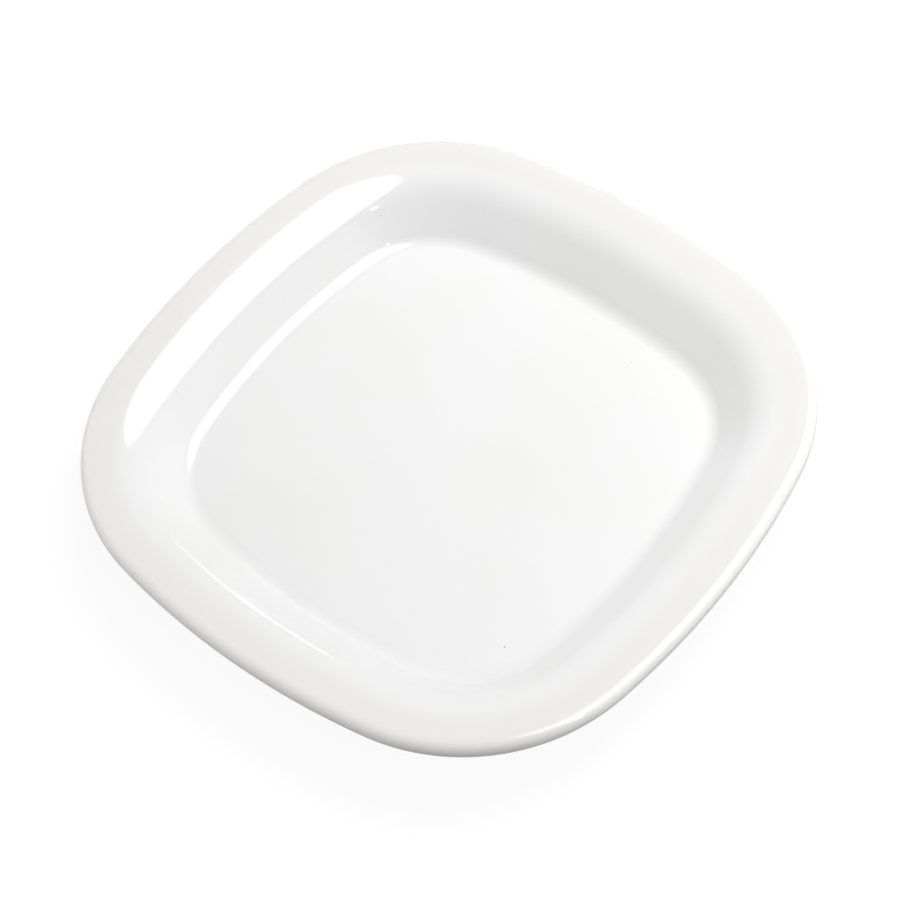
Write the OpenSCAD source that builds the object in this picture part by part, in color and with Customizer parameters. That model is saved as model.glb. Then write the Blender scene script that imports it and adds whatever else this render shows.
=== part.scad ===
// Square plate: one fired clay body with a foot ring, under two skins of glaze.
// Lengths are millimetres. The origin is the middle of the face that the plate stands on, +Z up.
// One cross section is carried round the rim, along four shallow side arcs and four corner arcs.

/* [Outline] */
// Overall width, across the middles of two opposite sides
plate_w = 260; // [230:2:300]
// Radius of the bowed sides at the outer edge
side_r = 326; // [260:2:600]
// Radius of the rounded corners at the outer edge
corner_r = 82; // [72:1:92]

/* [Face] */
// Depth of the well, from the crest of the lip to the floor
well_depth = 22.4; // [19:0.2:28]
// Radius between the floor and the wall
heel_r = 8.5; // [5:0.5:12]
// Steepness of the wall, in degrees from level
wall_tilt = 48; // [42:1:54]
// Radius of the shoulder between the wall and the flange
shoulder_r = 26; // [20:1:34]
// Steepness of the flange where it leaves the shoulder, in degrees
flange_tilt = 14.5; // [13:0.5:19]
// Radius of the flange
flange_r = 73; // [60:1:100]
// Steepness of the flange where the lip begins, in degrees
lip_tilt = 6.5; // [5:0.5:9]

/* [Wall and lip] */
// Thickness of the floor, wall and flange, with their glaze
wall_t = 4.6; // [3.6:0.1:6]
// Radius over the rolled lip
lip_r = 4.1; // [3.4:0.1:5]
// Radius under the rolled lip
under_r = 3.5; // [2:0.1:4]
// Radius of the cove between the lip and the underside of the flange
cove_r = 5; // [3:0.5:8]

/* [Foot ring] */
// Height of the recess inside the foot ring
foot_h = 3; // [2.4:0.1:5]
// Distance from the edge of the floor in to the middle of the foot ring
foot_inset = 5; // [4.5:0.5:12]
// Width of the flat face that the plate stands on
foot_face_w = 2.4; // [1.6:0.1:3.4]
// Slope of the foot ring's sides, in degrees from upright
foot_draft = 16; // [5:1:25]
// Radius at the edges of the standing face
toe_r = 0.8; // [0.5:0.1:1]
// Radius of the fillets where the foot ring meets the floor
root_r = 1.2; // [0.8:0.1:1.6]

/* [Glaze] */
// Thickness of the glaze
glaze_t = 0.3; // [0.2:0.05:0.4]
// Height of the clay left bare above the standing face
bare_h = 1; // [0.9:0.1:1.3]

/* [Hidden] */

// How far the chords of a drawn arc may lie inside it
chord_gap = 0.03;
// Fragments of a full turn round the rim's arcs
rim_fn = 180;
// How far the wedges that part the rim's arcs reach above and below the plate
over = 1;
// How far a side's wedge laps over the corners beside it, so that no gap is left where they meet
lap = 0.002;
// How far the wedges reach past the corner arcs' centres, as a share of the way there
wedge_share = 2;
// Where the rim's slices of floor begin, as a share of the way out to the corner arcs' centres
overlap_share = 0.5;
// How far the flat middle of the floor reaches past those centres, as a share of the corner radius
middle_share = 0.1;

half_w = plate_w / 2;
floor_z = foot_h + wall_t;
plate_h = floor_z + well_depth;

// Unit vector square to the face where it rises outwards at t degrees, and unit vector along it
function square_to(t) = [-sin(t), cos(t)];
function along(t) = [cos(t), sin(t)];
function unit(v) = v / norm(v);
function angle_of(v) = atan2(v[1], v[0]);

// The point at distance ra from a and rb from b that lies to the left of the way from a to b
function meeting_point(a, ra, b, rb) =
    let (
        d = norm(b - a),
        e = unit(b - a),
        s = (ra * ra - rb * rb + d * d) / (2 * d)
    )
    a + s * e + sqrt(ra * ra - s * s) * [-e[1], e[0]];

// Centres of the cross section's arcs, as distance from the plate's middle and height, from the lip inwards
lip_c = [half_w - lip_r, plate_h - lip_r];
flange_c = lip_c + (lip_r - flange_r) * square_to(lip_tilt);
shoulder_c = flange_c + (flange_r - shoulder_r) * square_to(flange_tilt);
wall_top = shoulder_c + shoulder_r * square_to(wall_tilt);
wall_len = (wall_top[1] - floor_z - heel_r * (1 - cos(wall_tilt))) / sin(wall_tilt);
heel_c = wall_top - wall_len * along(wall_tilt) + heel_r * square_to(wall_tilt);

// Centres of the round under the lip and of the cove, which touches it and the underside of the flange
under_c = lip_c + [lip_r - under_r, 0];
cove_c = meeting_point(flange_c, flange_r - wall_t - cove_r, under_c, under_r + cove_r);

// Foot ring: its middle, half its standing face, and the centres of its fillets
foot_x = heel_c[0] - foot_inset;
toe_x = foot_face_w / 2;
root_z = foot_h - root_r;
root_x = toe_x + (toe_r + glaze_t + root_r) / cos(foot_draft) + (root_z - toe_r) * tan(foot_draft);

// Outline: how far the side arcs' centres lie past the middle, and the centres of the corner arcs
side_off = side_r - half_w;
corner_off = half_w - corner_r;
corner_c = (sqrt(2 * pow(side_r - corner_r, 2) - pow(side_off, 2)) - side_off) / 2;
wedge_far = wedge_share * [corner_c + side_off, corner_c] - [side_off, 0];
middle_past = middle_share * corner_r;

// Points of an arc round c, from one direction to another in degrees
function arc(c, r, from, to) =
    let (n = ceil(abs(to - from) / (2 * acos(1 - chord_gap / r))))
    [for (i = [0:n]) c + r * along(from + (to - from) * i / n)];

// Half the foot ring's width at the edge of the glaze, for a surface that lies cut under the glazed one
function bare_x(cut) = toe_x + (toe_r + glaze_t - cut) / cos(foot_draft) + (bare_h - toe_r) * tan(foot_draft);

// The face, the lip and the outside, from the floor at x = start to the foot ring's outer side.
// The outline lies cut under the glazed surface.
function outside(start, cut) = concat(
    [[start, floor_z - cut]],
    arc(heel_c, heel_r + cut, 270, 270 + wall_tilt),
    arc(shoulder_c, shoulder_r - cut, 90 + wall_tilt, 90 + flange_tilt),
    arc(flange_c, flange_r - cut, 90 + flange_tilt, 90 + lip_tilt),
    arc(lip_c, lip_r - cut, 90 + lip_tilt, 0),
    arc(under_c, under_r - cut, 0, angle_of(cove_c - under_c)),
    arc(cove_c, cove_r + cut, angle_of(under_c - cove_c), angle_of(cove_c - flange_c)),
    arc(flange_c, flange_r - wall_t + cut, angle_of(cove_c - flange_c), 90 + flange_tilt),
    arc(shoulder_c, shoulder_r - wall_t + cut, 90 + flange_tilt, 90 + wall_tilt),
    arc(heel_c, heel_r + wall_t - cut, 270 + wall_tilt, 270),
    arc([foot_x + root_x, root_z], root_r + cut, 90, 180 - foot_draft),
    [[foot_x + bare_x(cut), bare_h]]
);

// The foot ring's bare edge, from its outer side to its inner side
function foot_edge() = concat(
    arc([foot_x + toe_x, toe_r], toe_r, -foot_draft, -90),
    arc([foot_x - toe_x, toe_r], toe_r, -90, foot_draft - 180)
);

// The inside of the foot ring and the underside of the floor, in to x = start
function recess(start, cut) = concat(
    [[foot_x - bare_x(cut), bare_h]],
    arc([foot_x - root_x, root_z], root_r + cut, foot_draft, 90),
    [[start, foot_h + cut]]
);

function reversed(l) = [for (i = [len(l) - 1:-1:0]) l[i]];

// An outline without the points that repeat where two arcs meet
function without_repeats(l) = [for (i = [0:len(l) - 1]) if (norm(l[i] - l[(i + 1) % len(l)]) > chord_gap / 100) l[i]];

// The skin of glaze between a glazed outline and the clay's outline under it
function skin(glazed, clay) = without_repeats(concat(glazed, reversed(clay)));

// Cross section of one piece, from x = start outwards
module section(piece, start) {
    if (piece == "body")
        polygon(without_repeats(concat(outside(start, glaze_t), foot_edge(), recess(start, glaze_t))));
    if (piece == "outside")
        polygon(skin(outside(start, 0), outside(start, glaze_t)));
    if (piece == "recess")
        polygon(skin(recess(start, 0), recess(start, glaze_t)));
}

// The part of what is drawn that lies over a flat outline
module within(outline) {
    intersection() {
        children();
        translate([0, 0, -over]) linear_extrude(plate_h + 2 * over) polygon(outline);
    }
}

// Carries the cross section of one piece round the rim. Each quarter has a side and a corner, and they meet
// in the plane through both arcs' centres.
module rim(piece) {
    side_near = [-side_off, lap];
    side_far = wedge_far + [0, lap];
    for (quarter = [0:3]) rotate(90 * quarter) {
        within([[side_near[0], -side_near[1]], [side_far[0], -side_far[1]], side_far, side_near])
            translate([-side_off, 0]) rotate_extrude($fn = rim_fn)
            translate([side_off, 0]) section(piece, overlap_share * corner_c);
        within([[corner_c, corner_c], wedge_far, [wedge_far[0], wedge_far[0]], [wedge_far[1], wedge_far[0]]])
            translate([corner_c, corner_c]) rotate_extrude($fn = rim_fn)
            translate([-corner_off, 0]) section(piece, corner_off + overlap_share * middle_past);
    }
}

// The flat middle of the floor, to a little past the centres of the corner arcs
module middle(low, high) {
    half = corner_c + middle_past;
    translate([-half, -half, low]) cube([2 * half, 2 * half, high - low]);
}

module fired_body() {
    color([0.90, 0.88, 0.84]) {
        rim("body");
        middle(foot_h + glaze_t, floor_z - glaze_t);
    }
}

module outer_glaze() {
    color([0.96, 0.96, 0.96]) {
        rim("outside");
        middle(floor_z - glaze_t, floor_z);
    }
}

module recess_glaze() {
    color([0.96, 0.96, 0.96]) {
        rim("recess");
        middle(foot_h, foot_h + glaze_t);
    }
}

fired_body();
outer_glaze();
recess_glaze();
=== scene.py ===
"""A glazed square plate: clay body, two skins of glaze and the studio it is photographed in.

Lengths are metres in the plate's own frame: the origin is the middle of the face that it stands on,
Z is up, and X and Y point to the middles of two neighbouring sides.
"""

import math
from collections import namedtuple

import bmesh
import bpy
from mathutils import Matrix, Vector


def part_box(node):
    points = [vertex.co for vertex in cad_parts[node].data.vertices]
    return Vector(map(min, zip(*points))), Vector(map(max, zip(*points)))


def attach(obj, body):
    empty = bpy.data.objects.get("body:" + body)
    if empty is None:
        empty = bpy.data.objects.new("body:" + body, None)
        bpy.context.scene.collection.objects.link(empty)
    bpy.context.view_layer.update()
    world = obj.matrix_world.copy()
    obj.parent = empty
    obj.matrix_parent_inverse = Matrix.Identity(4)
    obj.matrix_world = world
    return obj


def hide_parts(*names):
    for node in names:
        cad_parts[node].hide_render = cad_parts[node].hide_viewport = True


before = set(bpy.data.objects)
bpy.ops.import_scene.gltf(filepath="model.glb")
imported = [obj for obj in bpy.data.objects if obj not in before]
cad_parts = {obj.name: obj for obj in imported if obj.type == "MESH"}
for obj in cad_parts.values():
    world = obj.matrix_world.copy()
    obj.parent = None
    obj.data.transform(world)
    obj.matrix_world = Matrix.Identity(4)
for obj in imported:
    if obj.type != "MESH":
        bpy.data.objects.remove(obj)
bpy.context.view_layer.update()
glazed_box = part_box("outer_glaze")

bl_info = {
    "name": "Square plate",
    "version": (1, 0, 0),
    "blender": (4, 5, 0),
    "location": "3D View > Sidebar > Plate",
    "description": "Builds a glazed square plate and the studio around it",
    "category": "Object",
}

MM = 0.001

# How far chords may lie inside the arcs: across a face that shows, across one under the glaze,
# and round the rim
SEEN_GAP = 0.002 * MM
HIDDEN_GAP = 0.03 * MM
RIM_GAP = 0.008 * MM
# Points nearer than this are one
TOUCHING = 0.002 * MM
# An edge that turns by more than this is drawn sharp
SHARP_TURN = math.radians(35)

WHITE = (1.0, 1.0, 1.0)

# Thin glaze along the crest of the lip: the depths under the plate's top where it begins and is complete
CREST_FROM, CREST_TO = 3 * MM, 0.5 * MM
# Painted shade on the lip's outer side: the depths under the plate's top where it begins and is complete
LIP_SHADE_FROM, LIP_SHADE_TO = 9.5 * MM, 7.5 * MM
# It is also told by how far a point lies from the plate's middle, along the way that its surface faces
OUTWARD_FROM, OUTWARD_TO = 50 * MM, 80 * MM
# How far up the surface faces where the painted shade on the lip begins and where it is darkest: 1 is
# straight up and 0 is level
UPWARD_FROM, UPWARD_TO = 0.9, -0.3
# Values of the unevenness between which the glaze's drift and the clay's mottle come in
DRIFT_FROM, DRIFT_TO = 0.35, 0.8
MOTTLE_FROM, MOTTLE_TO = 0.3, 0.75
# How much finer unevenness each kind has within it: steps of half the size
PLAIN, SOFT, FINE, FINEST = 1.0, 2.0, 3.0, 4.0
# Share of a speck's radius inside which it has its full colour
SPECK_CORE = 0.4

# Width of the camera's frame, in the millimetres of its lens
FRAME_W = 36.0
# Nearest and farthest distance that the camera sees
NEAR, FAR = 0.01, 50.0
# Radius of the floor, and the number of its sides
FLOOR_R = 6.0
FLOOR_SIDES = 96


# Sizes and colours


def length(name, description, default_mm, **more):
    """A length that a user would change, given in millimetres and kept in metres"""
    return bpy.props.FloatProperty(
        name=name,
        description=description,
        default=default_mm * MM,
        min=0.0,
        unit="LENGTH",
        precision=5,
        **more,
    )


def angle(name, description, default_deg, **more):
    """An angle that a user would change, given in degrees and kept in radians"""
    return bpy.props.FloatProperty(
        name=name, description=description, default=math.radians(default_deg), subtype="ANGLE", **more
    )


def number(name, description, default, low=0.0, **more):
    """A number that a user would change"""
    return bpy.props.FloatProperty(
        name=name, description=description, default=default, min=low, precision=4, **more
    )


def share(name, description, default):
    """A number from 0 to 1 that a user would change"""
    return number(name, description, default, max=1.0, subtype="FACTOR")


def colour(name, description, default):
    return bpy.props.FloatVectorProperty(
        name=name, description=description, default=default, size=3, min=0.0, max=1.0, subtype="COLOR"
    )


def point(name, description, default):
    """A place in the plate's frame, in metres"""
    return bpy.props.FloatVectorProperty(
        name=name, description=description, default=default, size=3, unit="LENGTH"
    )


class PlateSizes(bpy.types.PropertyGroup):
    """Outline and cross section of the plate"""

    plate_w: bpy.props.FloatProperty(
        name="Width",
        description="Overall width, across the middles of two opposite sides",
        default=(glazed_box[1] - glazed_box[0]).x,
        unit="LENGTH",
        precision=5,
    )
    side_r: length("Side radius", "Radius of the bowed sides at the outer edge", 326)
    corner_r: length("Corner radius", "Radius of the rounded corners at the outer edge", 82)
    well_depth: length("Well depth", "Depth of the well, from the crest of the lip to the floor", 22.4)
    heel_r: length("Heel radius", "Radius between the floor and the wall", 8.5)
    wall_tilt: angle("Wall slope", "Steepness of the wall", 48)
    shoulder_r: length("Shoulder radius", "Radius between the wall and the flange", 26)
    flange_tilt: angle("Flange slope", "Steepness of the flange where it leaves the shoulder", 14.5)
    flange_r: length("Flange radius", "Radius of the flange", 73)
    lip_tilt: angle("Lip slope", "Steepness of the flange where the lip begins", 6.5)
    wall_t: length("Thickness", "Thickness of the floor, wall and flange, with their glaze", 4.6)
    lip_r: length("Lip radius", "Radius over the rolled lip", 4.1)
    under_r: length("Under-lip radius", "Radius under the rolled lip", 3.5)
    cove_r: length("Cove radius", "Radius of the cove under the lip", 5)
    foot_h: length("Foot height", "Height of the recess inside the foot ring", 3)
    foot_inset: length("Foot inset", "From the edge of the floor in to the middle of the foot ring", 5)
    foot_face_w: length("Standing face", "Width of the flat face that the plate stands on", 2.4)
    foot_draft: angle("Foot draft", "Slope of the foot ring's sides from upright", 16)
    toe_r: length("Toe radius", "Radius at the edges of the standing face", 0.8)
    root_r: length("Root radius", "Radius of the fillets where the foot ring meets the floor", 1.2)
    glaze_t: length("Glaze thickness", "Thickness of the glaze", 0.3)
    bare_h: length("Bare height", "Height of the clay left bare above the standing face", 1.0)


class GlazeLook(bpy.types.PropertyGroup):
    """Colour and surface of the glaze and of the bare clay, and the two specks on the floor of the plate"""

    glaze_colour: colour("Glaze", "Colour of the glaze over white clay", (0.84, 0.84, 0.84))
    thin_colour: colour("Thin glaze", "Colour of the glaze where it runs thin", (0.80, 0.79, 0.775))
    # Painted shade: the dark grey that the lip's outer side is darkened to where it faces down
    lip_shade_colour: colour(
        "Edge glaze", "Colour of the shaded glaze, low on the lip's outer side", (0.46, 0.455, 0.45)
    )
    speck_colour: colour("Speck", "Colour of the specks under the glaze", (0.16, 0.15, 0.14))
    gloss_roughness: share("Glaze roughness", "Roughness of the glaze", 0.045)
    sheen_length: length("Sheen length", "Distance between the duller places of the glaze", 25)
    sheen_swing: share("Sheen swing", "How far the roughness of the glaze wanders", 0.01)
    glaze_ior: number("Glaze IOR", "Index of refraction of the glaze", 1.5, low=1.0)
    drift_length: length("Drift length", "Distance between the slow changes of the glaze's tone", 60)
    drift_share: share("Drift share", "Most thin glaze that those changes mix in", 0.35)
    crest_share: share("Crest share", "Thin glaze mixed in along the crest of the lip", 0.8)
    ripple_length: length("Ripple length", "Distance between the soft ripples that the glaze dries with", 9)
    ripple_height: length("Ripple height", "Height of those ripples", 0.004)
    grain_length: length("Grain length", "Distance between the fine dimples of the glaze", 0.9)
    grain_height: length("Grain height", "Height of those dimples", 0.0004)
    speck_place: point("Speck place", "Place of the dark speck", (-0.0593, -0.0717, 0.0076))
    speck_r: length("Speck radius", "Radius of the dark speck", 0.42)
    pale_speck_place: point("Pale speck place", "Place of the pale speck", (0.0745, -0.0350, 0.0076))
    pale_speck_r: length("Pale speck radius", "Radius of the pale speck", 0.5)
    pale_speck_share: share("Pale speck share", "How much of the specks' colour it shows", 0.2)
    clay_colour: colour("Clay", "Colour of the bare fired clay", (0.79, 0.75, 0.68))
    dark_clay_colour: colour("Dark clay", "Colour of the clay's darker places", (0.6794, 0.645, 0.5848))
    clay_roughness: share("Clay roughness", "Roughness of the bare fired clay", 0.72)
    clay_swing: share("Clay swing", "How far the roughness of the clay wanders", 0.05)
    mottle_length: length("Mottle length", "Distance between the darker places of the clay", 6)
    pit_length: length("Pit length", "Distance between the fine pits of the clay", 0.35)
    pit_depth: length("Pit depth", "Depth of those pits", 0.05)


class StudioLook(bpy.types.PropertyGroup):
    """Camera, lamps and floor"""

    camera_place: point("Camera", "Place of the camera", (-0.3334, -0.3148, 0.6913))
    camera_azimuth: angle("Camera azimuth", "Compass direction that the camera looks in, from +X", 43.41)
    camera_drop: angle("Camera drop", "How far the camera looks down from level", 56.26)
    camera_roll: angle("Camera roll", "Turn of the camera round its own axis", 6.606)
    camera_lens: number("Lens", "Focal length in millimetres on a frame 36 mm wide", 82.8)
    box_radiance: number("Softbox radiance", "Radiance of the softbox as the glaze mirrors it", 3.6)
    bulb_radiance: number("Bulb radiance", "Radiance of the bare bulb as the glaze mirrors it", 140.0)
    key_radiance: number("Key radiance", "Radiance of the key lamp, which only lights the plate", 3.77)
    room_level: number("Room level", "Level of the even light from the room", 0.2)
    mirrored_level: number("Mirrored room", "Level of the room as it is seen and mirrored", 1.0)
    floor_glow: share("Floor glow", "Part of the floor's white that no shadow takes away", 0.88)
    floor_colour: colour("Floor", "Colour of the floor under the plate", (0.16, 0.16, 0.16))


# Cross section


# An arc round its centre, drawn from the direction start to the direction end
Arc = namedtuple("Arc", "centre radius start end")


def towards(turn):
    """Unit vector at an angle from level, in the plane of the cross section"""
    return Vector((math.cos(turn), math.sin(turn)))


def square_to(tilt):
    """Unit vector square to the face where it rises outwards at this tilt"""
    return towards(tilt + math.pi / 2)


def heading(way):
    """Angle of a vector from level, in the plane of the cross section"""
    return math.atan2(way.y, way.x)


def corner_point(x, z):
    """A single point of an outline, as an arc without a radius"""
    return Arc(Vector((x, z)), 0.0, 0.0, 0.0)


def drawn_back(arcs):
    """The same outline, drawn the other way"""
    return [Arc(arc.centre, arc.radius, arc.end, arc.start) for arc in reversed(arcs)]


def meeting_point(a, reach_a, b, reach_b):
    """The point at reach_a from a and reach_b from b, to the left of the way from a to b"""
    gap = (b - a).length
    ahead = (b - a).normalized()
    along = (reach_a**2 - reach_b**2 + gap**2) / (2 * gap)
    return a + along * ahead + math.sqrt(reach_a**2 - along**2) * Vector((-ahead.y, ahead.x))


class CrossSection:
    """The plate's cross section as arcs with straight runs between them: x outwards from the middle, z up.

    An outline lies cut under the glazed surface, and starts or ends over the centres of the corner arcs.
    """

    def __init__(self, sizes):
        self.sizes = sizes
        half_w = sizes.plate_w / 2
        self.floor_z = sizes.foot_h + sizes.wall_t
        self.plate_h = self.floor_z + sizes.well_depth
        self.lip = Vector((half_w - sizes.lip_r, self.plate_h - sizes.lip_r))
        self.flange = self.lip + (sizes.lip_r - sizes.flange_r) * square_to(sizes.lip_tilt)
        self.shoulder = self.flange + (sizes.flange_r - sizes.shoulder_r) * square_to(sizes.flange_tilt)
        wall_top = self.shoulder + sizes.shoulder_r * square_to(sizes.wall_tilt)
        rise = wall_top.y - self.floor_z - sizes.heel_r * (1 - math.cos(sizes.wall_tilt))
        wall_foot = wall_top - rise / math.sin(sizes.wall_tilt) * towards(sizes.wall_tilt)
        self.heel = wall_foot + sizes.heel_r * square_to(sizes.wall_tilt)
        self.under = self.lip + Vector((sizes.lip_r - sizes.under_r, 0))
        self.cove = meeting_point(
            self.flange,
            sizes.flange_r - sizes.wall_t - sizes.cove_r,
            self.under,
            sizes.under_r + sizes.cove_r,
        )
        self.start_x = half_w - sizes.corner_r
        self.foot_x = self.heel.x - sizes.foot_inset
        self.toe_x = sizes.foot_face_w / 2
        self.root_z = sizes.foot_h - sizes.root_r
        self.root_x = (
            self.toe_x
            + (sizes.toe_r + sizes.glaze_t + sizes.root_r) / math.cos(sizes.foot_draft)
            + (self.root_z - sizes.toe_r) * math.tan(sizes.foot_draft)
        )

    def bare_x(self, cut):
        """Half the foot ring's width at the edge of the glaze"""
        sizes = self.sizes
        return (
            self.toe_x
            + (sizes.toe_r + sizes.glaze_t - cut) / math.cos(sizes.foot_draft)
            + (sizes.bare_h - sizes.toe_r) * math.tan(sizes.foot_draft)
        )

    def outside(self, cut):
        """Face, lip and outside, from the floor's middle to the foot ring's outer side"""
        sizes = self.sizes
        up = math.pi / 2
        wall, flange, lip = sizes.wall_tilt, sizes.flange_tilt, sizes.lip_tilt
        under_end = heading(self.cove - self.under)
        cove_end = heading(self.cove - self.flange)
        return [
            corner_point(self.start_x, self.floor_z - cut),
            Arc(self.heel, sizes.heel_r + cut, -up, wall - up),
            Arc(self.shoulder, sizes.shoulder_r - cut, up + wall, up + flange),
            Arc(self.flange, sizes.flange_r - cut, up + flange, up + lip),
            Arc(self.lip, sizes.lip_r - cut, up + lip, 0.0),
            Arc(self.under, sizes.under_r - cut, 0.0, under_end),
            Arc(self.cove, sizes.cove_r + cut, under_end + math.pi, cove_end),
            Arc(self.flange, sizes.flange_r - sizes.wall_t + cut, cove_end, up + flange),
            Arc(self.shoulder, sizes.shoulder_r - sizes.wall_t + cut, up + flange, up + wall),
            Arc(self.heel, sizes.heel_r + sizes.wall_t - cut, wall - up, -up),
            Arc(
                Vector((self.foot_x + self.root_x, self.root_z)),
                sizes.root_r + cut,
                up,
                math.pi - sizes.foot_draft,
            ),
        ]

    def recess(self, cut):
        """Underside of the floor, from its middle to the foot ring's inner side"""
        sizes = self.sizes
        return [
            corner_point(self.start_x, sizes.foot_h + cut),
            Arc(
                Vector((self.foot_x - self.root_x, self.root_z)),
                sizes.root_r + cut,
                math.pi / 2,
                sizes.foot_draft,
            ),
        ]

    def foot_edge(self):
        """The bare edge of the foot ring, from its outer side to its inner side"""
        sizes = self.sizes
        down = -math.pi / 2
        return [
            Arc(Vector((self.foot_x + self.toe_x, sizes.toe_r)), sizes.toe_r, -sizes.foot_draft, down),
            Arc(
                Vector((self.foot_x - self.toe_x, sizes.toe_r)),
                sizes.toe_r,
                down,
                sizes.foot_draft - math.pi,
            ),
        ]

    def glaze_end(self, side):
        """The glaze's rounded end, down onto the clay, on the foot ring's outer (1) or inner (-1) side"""
        sizes = self.sizes
        on_clay = Vector((self.foot_x + side * self.bare_x(sizes.glaze_t), sizes.bare_h + sizes.glaze_t))
        on_clay.x += side * sizes.glaze_t * math.tan(sizes.foot_draft)
        out = -sizes.foot_draft
        down = out - math.pi / 2
        if side < 0:
            out, down = -math.pi - out, -math.pi - down
        return [Arc(on_clay, sizes.glaze_t, out, down)]

    def clay_outline(self):
        """The whole clay body, under the glaze and along the bare edge of the foot"""
        glaze = self.sizes.glaze_t
        return [
            (self.outside(glaze), HIDDEN_GAP),
            (self.foot_edge(), SEEN_GAP),
            (drawn_back(self.recess(glaze)), HIDDEN_GAP),
        ]

    def outer_glaze_outline(self):
        """The outer skin: its glazed side, then back along the clay"""
        return [
            (self.outside(0.0) + self.glaze_end(1), SEEN_GAP),
            (drawn_back(self.outside(self.sizes.glaze_t)), HIDDEN_GAP),
        ]

    def recess_glaze_outline(self):
        """The skin inside the foot ring: its glazed side, then back along the clay"""
        return [
            (self.recess(0.0) + self.glaze_end(-1), SEEN_GAP),
            (drawn_back(self.recess(self.sizes.glaze_t)), HIDDEN_GAP),
        ]


# From cross section to piece


def steps_for(radius, turn, chord_gap):
    """How many chords keep within chord_gap of an arc"""
    return max(1, math.ceil(abs(turn) / (2 * math.acos(1 - chord_gap / radius))))


def draw(mesh, outline):
    """Draws an outline as a chain of edges in the XZ plane, one pen stroke after another.

    The outline is a list of (arcs, chord_gap). A straight run joins one arc's end to the next one's start.
    """
    tip = None
    for arcs, chord_gap in outline:
        for arc in arcs:
            start = arc.centre + arc.radius * towards(arc.start)
            place = Vector((start.x, 0, start.y))
            if tip is None:
                tip = mesh.verts.new(place)
            elif (tip.co - place).length > TOUCHING:
                tip = bmesh.ops.extrude_vert_indiv(mesh, verts=[tip])["verts"][0]
                tip.co = place
            if arc.radius > TOUCHING:
                turn = arc.end - arc.start
                stroke = bmesh.ops.spin(
                    mesh,
                    geom=[tip],
                    cent=(arc.centre.x, 0, arc.centre.y),
                    axis=(0, -1, 0),
                    angle=turn,
                    steps=steps_for(arc.radius, turn, chord_gap),
                )
                tip = [v for v in stroke["geom_last"] if isinstance(v, bmesh.types.BMVert)][0]


def carry_round(mesh, sizes):
    """Carries the drawn chain along a side arc and a corner arc, turns that quarter round three times
    and closes the middle"""
    side_off = sizes.side_r - sizes.plate_w / 2
    reach = sizes.side_r - sizes.corner_r
    corner = (math.sqrt(2 * reach**2 - side_off**2) - side_off) / 2
    side_turn = 2 * math.asin(corner / reach)
    side_centre = Vector((-side_off, 0, 0))
    corner_centre = Vector((corner, corner, 0))
    half_back = Matrix.Rotation(-side_turn / 2, 3, "Z")
    bmesh.ops.rotate(mesh, cent=side_centre, matrix=half_back, verts=mesh.verts)
    chain = mesh.verts[:] + mesh.edges[:]
    for centre, turn, radius in (
        (side_centre, side_turn, sizes.side_r),
        (corner_centre, math.pi / 2 - side_turn, sizes.corner_r),
    ):
        swept = bmesh.ops.spin(
            mesh,
            geom=chain,
            cent=centre,
            axis=(0, 0, 1),
            angle=turn,
            steps=steps_for(radius, turn, RIM_GAP),
        )
        chain = swept["geom_last"]
    bmesh.ops.spin(
        mesh,
        geom=mesh.verts[:] + mesh.edges[:] + mesh.faces[:],
        cent=(0, 0, 0),
        axis=(0, 0, 1),
        angle=1.5 * math.pi,
        steps=3,
        use_duplicate=True,
    )
    bmesh.ops.remove_doubles(mesh, verts=mesh.verts, dist=TOUCHING)
    bmesh.ops.holes_fill(mesh, edges=[edge for edge in mesh.edges if edge.is_boundary], sides=0)
    bmesh.ops.recalc_face_normals(mesh, faces=mesh.faces)


def make_piece(name, outline, sizes, node, material):
    """Builds a piece from its outline, finishes it and lets it stand for its node of the frame"""
    mesh = bmesh.new()
    draw(mesh, outline)
    carry_round(mesh, sizes)
    data = bpy.data.meshes.new(name)
    mesh.to_mesh(data)
    mesh.free()
    data.shade_smooth()
    data.set_sharp_from_angle(angle=SHARP_TURN)
    piece = bpy.data.objects.new(name, data)
    bpy.context.scene.collection.objects.link(piece)
    data.materials.append(material)
    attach(piece, "root")
    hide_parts(node)


# Materials


class Wire:
    """A value in a material. Sums on it are written in Python and add their Math nodes."""

    def __init__(self, paint, socket):
        self.paint = paint
        self.socket = socket

    def math(self, operation, first, second):
        """A Math node with these two values"""
        return self.paint.add("ShaderNodeMath", {"operation": operation}, {0: first, 1: second})

    def __add__(self, other):
        return self.math("ADD", self, other)

    def __radd__(self, other):
        return self.math("ADD", other, self)

    def __sub__(self, other):
        return self.math("SUBTRACT", self, other)

    def __rsub__(self, other):
        return self.math("SUBTRACT", other, self)

    def __mul__(self, other):
        return self.math("MULTIPLY", self, other)

    def __rmul__(self, other):
        return self.math("MULTIPLY", other, self)


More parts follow.
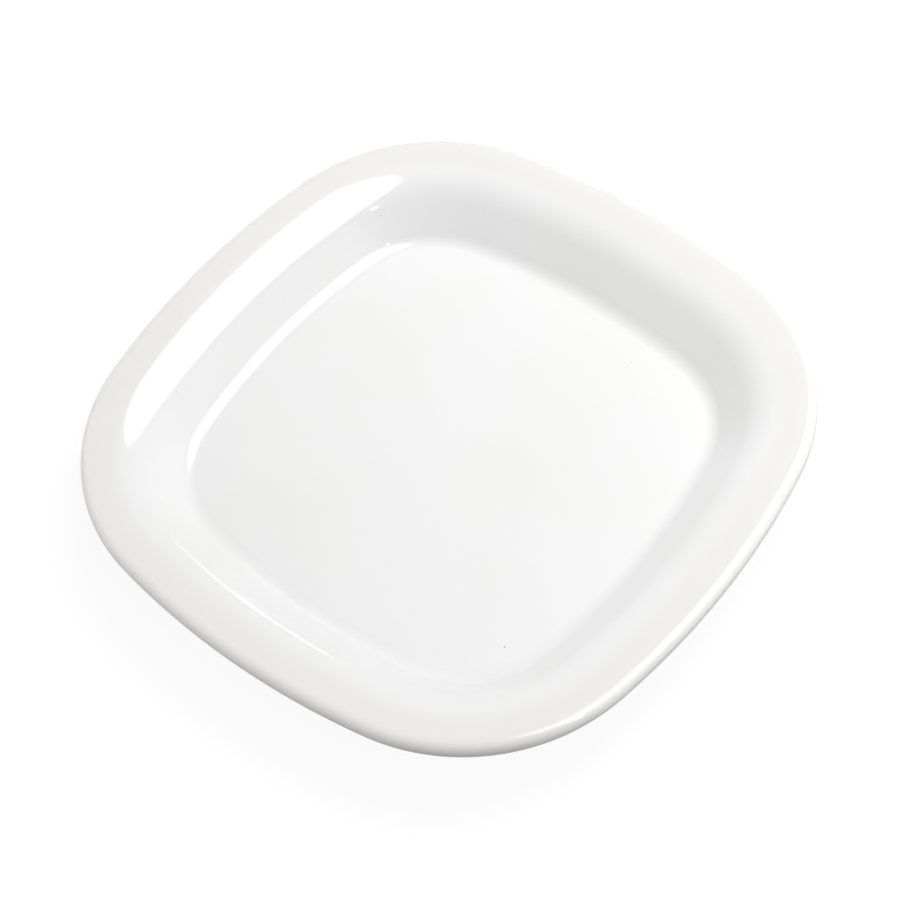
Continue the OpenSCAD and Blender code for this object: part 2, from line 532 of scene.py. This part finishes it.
class Paint:
    """A material or a world under way: each node is added with its settings and its inputs"""

    def __init__(self, name, kept=None):
        self.kept = kept or bpy.data.materials.new(name)
        self.kept.use_nodes = True
        self.tree = self.kept.node_tree
        self.tree.nodes.clear()

    def add(self, kind, settings, inputs, output=0):
        """Adds a node and gives back one of its outputs"""
        node = self.tree.nodes.new(kind)
        for name, value in settings.items():
            setattr(node, name, value)
        for name, value in inputs.items():
            if isinstance(value, Wire):
                self.tree.links.new(value.socket, node.inputs[name])
            else:
                node.inputs[name].default_value = value
        return Wire(self, node.outputs[output]) if node.outputs else None

    def place(self):
        """Place of a point in the plate's frame"""
        return self.add("ShaderNodeTexCoord", {}, {}, "Object")

    def noise(self, place, size, detail=SOFT):
        """Soft unevenness from 0 to 1, with this distance between its swells"""
        return self.add(
            "ShaderNodeTexNoise",
            {},
            {"Vector": place, "Scale": 1.0 / size, "Detail": detail, "Roughness": 0.5},
        )

    def ramp(self, value, low, high):
        """0 at low and before it, 1 at high and past it, and a soft rise between them"""
        return self.add(
            "ShaderNodeMapRange",
            {"interpolation_type": "SMOOTHSTEP"},
            {"Value": value, "From Min": low, "From Max": high},
        )

    def spot(self, place, centre, radius):
        """1 near a point and 0 beyond a radius from it"""
        gap = self.add("ShaderNodeVectorMath", {"operation": "DISTANCE"}, {0: place, 1: centre}, "Value")
        return 1.0 - self.ramp(gap, SPECK_CORE * radius, radius)

    def uneven(self, place, size, middle, swing, detail=SOFT):
        """A number that wanders by up to swing on either side of its middle"""
        return self.noise(place, size, detail) * (2 * swing) + (middle - swing)

    def blend(self, factor, low, high):
        """A colour between two colours: the low one at factor 0, the high one at factor 1"""
        return self.add(
            "ShaderNodeMix", {"data_type": "RGBA"}, {"Factor": factor, 6: opaque(low), 7: opaque(high)}, 2
        )

    def bump(self, height):
        """The surface raised by a height in metres"""
        return self.add(
            "ShaderNodeBump", {}, {"Strength": 1.0, "Distance": 1.0, "Height": height}, "Normal"
        )

    def seen(self):
        """1 for a ray from the camera, from a mirror or through glass, and 0 for one that gathers light"""
        camera, glossy, transmission = (
            self.add("ShaderNodeLightPath", {}, {}, f"Is {way} Ray")
            for way in ("Camera", "Glossy", "Transmission")
        )
        return camera + glossy + transmission

    def finish(self, shader, output="ShaderNodeOutputMaterial"):
        """Gives the surface its shader and hands over the material or the world"""
        self.add(output, {}, {"Surface": shader})
        return self.kept


def opaque(shade):
    """A colour as a node takes it, with its fourth channel"""
    return shade if isinstance(shade, Wire) else (*shade, 1.0)


def over_lip(paint, place, tone, look, plate_h):
    """The glaze's tone, thinner along the lip's crest, with painted shade low on the lip's outer side where
    it faces down
    """
    height = paint.add("ShaderNodeSeparateXYZ", {}, {"Vector": place}, "Z")
    facing = paint.add("ShaderNodeTexCoord", {}, {}, "Normal")
    upward = paint.add("ShaderNodeSeparateXYZ", {}, {"Vector": facing}, "Z")
    outward = paint.add(
        "ShaderNodeVectorMath", {"operation": "DOT_PRODUCT"}, {0: facing, 1: place}, "Value"
    )
    crest = paint.ramp(height, plate_h - CREST_FROM, plate_h - CREST_TO) * look.crest_share
    # Painted shade: the lip's outer side is darkened where it faces down, low under the crest
    lip_shade = paint.ramp(height, plate_h - LIP_SHADE_FROM, plate_h - LIP_SHADE_TO)
    lip_shade *= paint.ramp(outward, OUTWARD_FROM, OUTWARD_TO)
    lip_shade *= paint.ramp(upward, UPWARD_FROM, UPWARD_TO)
    return paint.blend(lip_shade, paint.blend(crest, tone, look.thin_colour), look.lip_shade_colour)


def glaze_material(name, look, plate_h):
    """Glossy white glaze: ripples, fine dimples, an uneven tone, thinner along the lip's crest, painted
    shade low on the lip's outer side, and two specks
    """
    paint = Paint(name)
    place = paint.place()
    drift = paint.ramp(paint.noise(place, look.drift_length), DRIFT_FROM, DRIFT_TO) * look.drift_share
    drifting = paint.blend(drift, look.glaze_colour, look.thin_colour)
    tone = over_lip(paint, place, drifting, look, plate_h)
    dark = paint.spot(place, look.speck_place, look.speck_r)
    pale = paint.spot(place, look.pale_speck_place, look.pale_speck_r) * look.pale_speck_share
    ripple = paint.noise(place, look.ripple_length, PLAIN) * look.ripple_height
    grain = paint.noise(place, look.grain_length, PLAIN) * look.grain_height
    shader = paint.add(
        "ShaderNodeBsdfPrincipled",
        {},
        {
            "Base Color": paint.blend(dark + pale, tone, look.speck_colour),
            "Roughness": paint.uneven(place, look.sheen_length, look.gloss_roughness, look.sheen_swing),
            "IOR": look.glaze_ior,
            "Normal": paint.bump(ripple + grain),
        },
    )
    return paint.finish(shader)


def clay_material(name, look):
    """Bare fired clay: dry, warm and finely pitted"""
    paint = Paint(name)
    place = paint.place()
    mottle = paint.ramp(paint.noise(place, look.mottle_length, FINEST), MOTTLE_FROM, MOTTLE_TO)
    pits = paint.noise(place, look.pit_length, FINE) * look.pit_depth
    rough = paint.uneven(place, look.mottle_length, look.clay_roughness, look.clay_swing, FINEST)
    shader = paint.add(
        "ShaderNodeBsdfPrincipled",
        {},
        {
            "Base Color": paint.blend(mottle, look.clay_colour, look.dark_clay_colour),
            "Roughness": rough,
            "Normal": paint.bump(pits),
        },
    )
    return paint.finish(shader)


def floor_material(name, studio):
    """White floor that keeps the plate's shadow: most of its white is its own, and the lamps add the rest"""
    paint = Paint(name)
    strength = paint.seen() * studio.floor_glow
    glow = paint.add("ShaderNodeEmission", {}, {"Color": opaque(WHITE), "Strength": strength})
    lit = paint.add("ShaderNodeBsdfDiffuse", {}, {"Color": opaque(studio.floor_colour)})
    return paint.finish(paint.add("ShaderNodeAddShader", {}, {0: glow, 1: lit}))


# The studio


# Where a lamp hangs: compass (from +X), height (from level) and turn (round the way to the plate) are
# degrees; distance, width and depth are metres. A mirrored lamp shows only in the glaze, and any other
# one only lights.
Lamp = namedtuple("Lamp", "name compass height distance width depth turn radiance mirrored")


def place_camera(scene, studio):
    camera = bpy.data.objects.new("camera", bpy.data.cameras.new("camera"))
    camera.data.sensor_width = FRAME_W
    camera.data.lens = studio.camera_lens
    camera.data.clip_start = NEAR
    camera.data.clip_end = FAR
    level = math.pi / 2
    camera.matrix_world = (
        Matrix.Translation(studio.camera_place)
        @ Matrix.Rotation(studio.camera_azimuth - level, 4, "Z")
        @ Matrix.Rotation(level - studio.camera_drop, 4, "X")
        @ Matrix.Rotation(-studio.camera_roll, 4, "Z")
    )
    scene.collection.objects.link(camera)
    scene.camera = camera


def lay_floor(scene, studio):
    mesh = bmesh.new()
    bmesh.ops.create_circle(mesh, cap_ends=True, segments=FLOOR_SIDES, radius=FLOOR_R)
    data = bpy.data.meshes.new("floor")
    mesh.to_mesh(data)
    mesh.free()
    floor = bpy.data.objects.new("floor", data)
    scene.collection.objects.link(floor)
    data.materials.append(floor_material("white_floor", studio))


def lamps(studio):
    """The lamps that the glaze mirrors, then those that only light the plate"""
    box, bulb, key = studio.box_radiance, studio.bulb_radiance, studio.key_radiance
    return (
        Lamp("softbox", -43.7, 60.0, 2.98, 3.32, 2.98, -21.1, box, True),
        Lamp("bulb", -98.5, 46.0, 1.2, 0.08, 0.08, 0.0, bulb, True),
        Lamp("low_lamp", 25.4, 5.6, 2.41, 0.08, 0.09, 0.0, 2.0 * box, True),
        Lamp("upper_lamp", 24.2, 9.5, 2.41, 0.12, 0.09, 0.0, 1.2 * box, True),
        Lamp("strip_lamp", 58.9, 3.5, 2.4, 0.43, 0.08, 0.0, 0.6 * box, True),
        Lamp("key", -16.6, 50.0, 0.8, 0.56, 0.56, 0.0, key, False),
        Lamp("fill_right", 13.4, 50.0, 2.5, 1.7, 1.7, 0.0, 0.79 * key, False),
        Lamp("fill_left", 133.4, 20.0, 2.5, 1.7, 1.7, 0.0, 0.79 * key, False),
        Lamp("fill_low", -136.6, 20.0, 2.5, 1.7, 1.7, 0.0, 0.29 * key, False),
        Lamp("fill_front", -106.6, 50.0, 2.5, 1.7, 1.7, 0.0, 0.56 * key, False),
        Lamp("table_right", -62.0, 0.42, 1.5, 1.5, 0.018, 0.0, 37.0 * key, False),
        Lamp("table_left", 125.0, 0.42, 1.5, 1.5, 0.018, 0.0, 17.0 * key, False),
    )


def hang_lamp(scene, spec):
    """Hangs an oval lamp that faces the middle of the plate"""
    lamp = bpy.data.lights.new(spec.name, "AREA")
    lamp.shape = "ELLIPSE"
    lamp.size = spec.width
    lamp.size_y = spec.depth
    lamp.energy = spec.radiance * math.pi * (math.pi / 4 * spec.width * spec.depth)
    hung = bpy.data.objects.new(spec.name, lamp)
    compass, height = math.radians(spec.compass), math.radians(spec.height)
    level = Vector((math.cos(compass), math.sin(compass), 0)) * math.cos(height)
    way = level + Vector((0, 0, math.sin(height)))
    hung.matrix_world = (
        Matrix.Translation(spec.distance * way)
        @ way.to_track_quat("Z", "Y").to_matrix().to_4x4()
        @ Matrix.Rotation(math.radians(spec.turn), 4, "Z")
    )
    hung.visible_diffuse = not spec.mirrored
    hung.visible_glossy = spec.mirrored
    scene.collection.objects.link(hung)


def light_room(scene, studio):
    """An even room that is seen and mirrored white, and lights the plate at its own level"""
    paint = Paint("room", bpy.data.worlds.new("room"))
    strength = paint.seen() * (studio.mirrored_level - studio.room_level) + studio.room_level
    even = paint.add("ShaderNodeBackground", {}, {"Color": opaque(WHITE), "Strength": strength})
    scene.world = paint.finish(even, "ShaderNodeOutputWorld")


# Operators and panel


class PLATE_OT_clay_body(bpy.types.Operator):
    """Builds the fired clay body, whose only bare clay is the edge of the foot ring"""

    bl_idname = "plate.clay_body"
    bl_label = "Clay body"

    def execute(self, context):
        sizes = context.scene.plate_sizes
        make_piece(
            "clay_body",
            CrossSection(sizes).clay_outline(),
            sizes,
            "fired_body",
            clay_material("fired_clay", context.scene.glaze_look),
        )
        return {"FINISHED"}


class PLATE_OT_outer_glaze(bpy.types.Operator):
    """Builds the glaze over the face, the lip and the outside"""

    bl_idname = "plate.outer_glaze"
    bl_label = "Outer glaze"

    def execute(self, context):
        sizes = context.scene.plate_sizes
        make_piece(
            "face_glaze",
            CrossSection(sizes).outer_glaze_outline(),
            sizes,
            "outer_glaze",
            glaze_material("white_glaze", context.scene.glaze_look, CrossSection(sizes).plate_h),
        )
        return {"FINISHED"}


class PLATE_OT_recess_glaze(bpy.types.Operator):
    """Builds the glaze inside the foot ring"""

    bl_idname = "plate.recess_glaze"
    bl_label = "Recess glaze"

    def execute(self, context):
        sizes = context.scene.plate_sizes
        make_piece(
            "foot_recess_glaze",
            CrossSection(sizes).recess_glaze_outline(),
            sizes,
            "recess_glaze",
            glaze_material("recess_white_glaze", context.scene.glaze_look, CrossSection(sizes).plate_h),
        )
        return {"FINISHED"}


class PLATE_OT_studio(bpy.types.Operator):
    """Builds the floor, the lamps and the camera"""

    bl_idname = "plate.studio"
    bl_label = "Studio"

    def execute(self, context):
        studio = context.scene.studio_look
        place_camera(context.scene, studio)
        lay_floor(context.scene, studio)
        for spec in lamps(studio):
            hang_lamp(context.scene, spec)
        light_room(context.scene, studio)
        context.scene.view_settings.view_transform = "Standard"
        return {"FINISHED"}


class PLATE_PT_panel(bpy.types.Panel):
    """Lists the pieces of the plate and their sizes"""

    bl_idname = "PLATE_PT_panel"
    bl_label = "Square plate"
    bl_space_type = "VIEW_3D"
    bl_region_type = "UI"
    bl_category = "Plate"

    def draw(self, context):
        for group in (context.scene.plate_sizes, context.scene.glaze_look, context.scene.studio_look):
            box = self.layout.box()
            for name in group.__annotations__:
                box.prop(group, name)
        for step in STEPS:
            self.layout.operator(step.bl_idname)


STEPS = (PLATE_OT_clay_body, PLATE_OT_outer_glaze, PLATE_OT_recess_glaze, PLATE_OT_studio)
GROUPS = (("plate_sizes", PlateSizes), ("glaze_look", GlazeLook), ("studio_look", StudioLook))
CLASSES = tuple(group for _, group in GROUPS) + STEPS + (PLATE_PT_panel,)


def register():
    for each in CLASSES:
        bpy.utils.register_class(each)
    for name, group in GROUPS:
        setattr(bpy.types.Scene, name, bpy.props.PointerProperty(type=group))


def unregister():
    for name, _ in GROUPS:
        delattr(bpy.types.Scene, name)
    for each in reversed(CLASSES):
        bpy.utils.unregister_class(each)


def main():
    register()
    bpy.ops.plate.clay_body()
    bpy.ops.plate.outer_glaze()
    bpy.ops.plate.recess_glaze()
    bpy.ops.plate.studio()


if __name__ == "__main__":
    main()
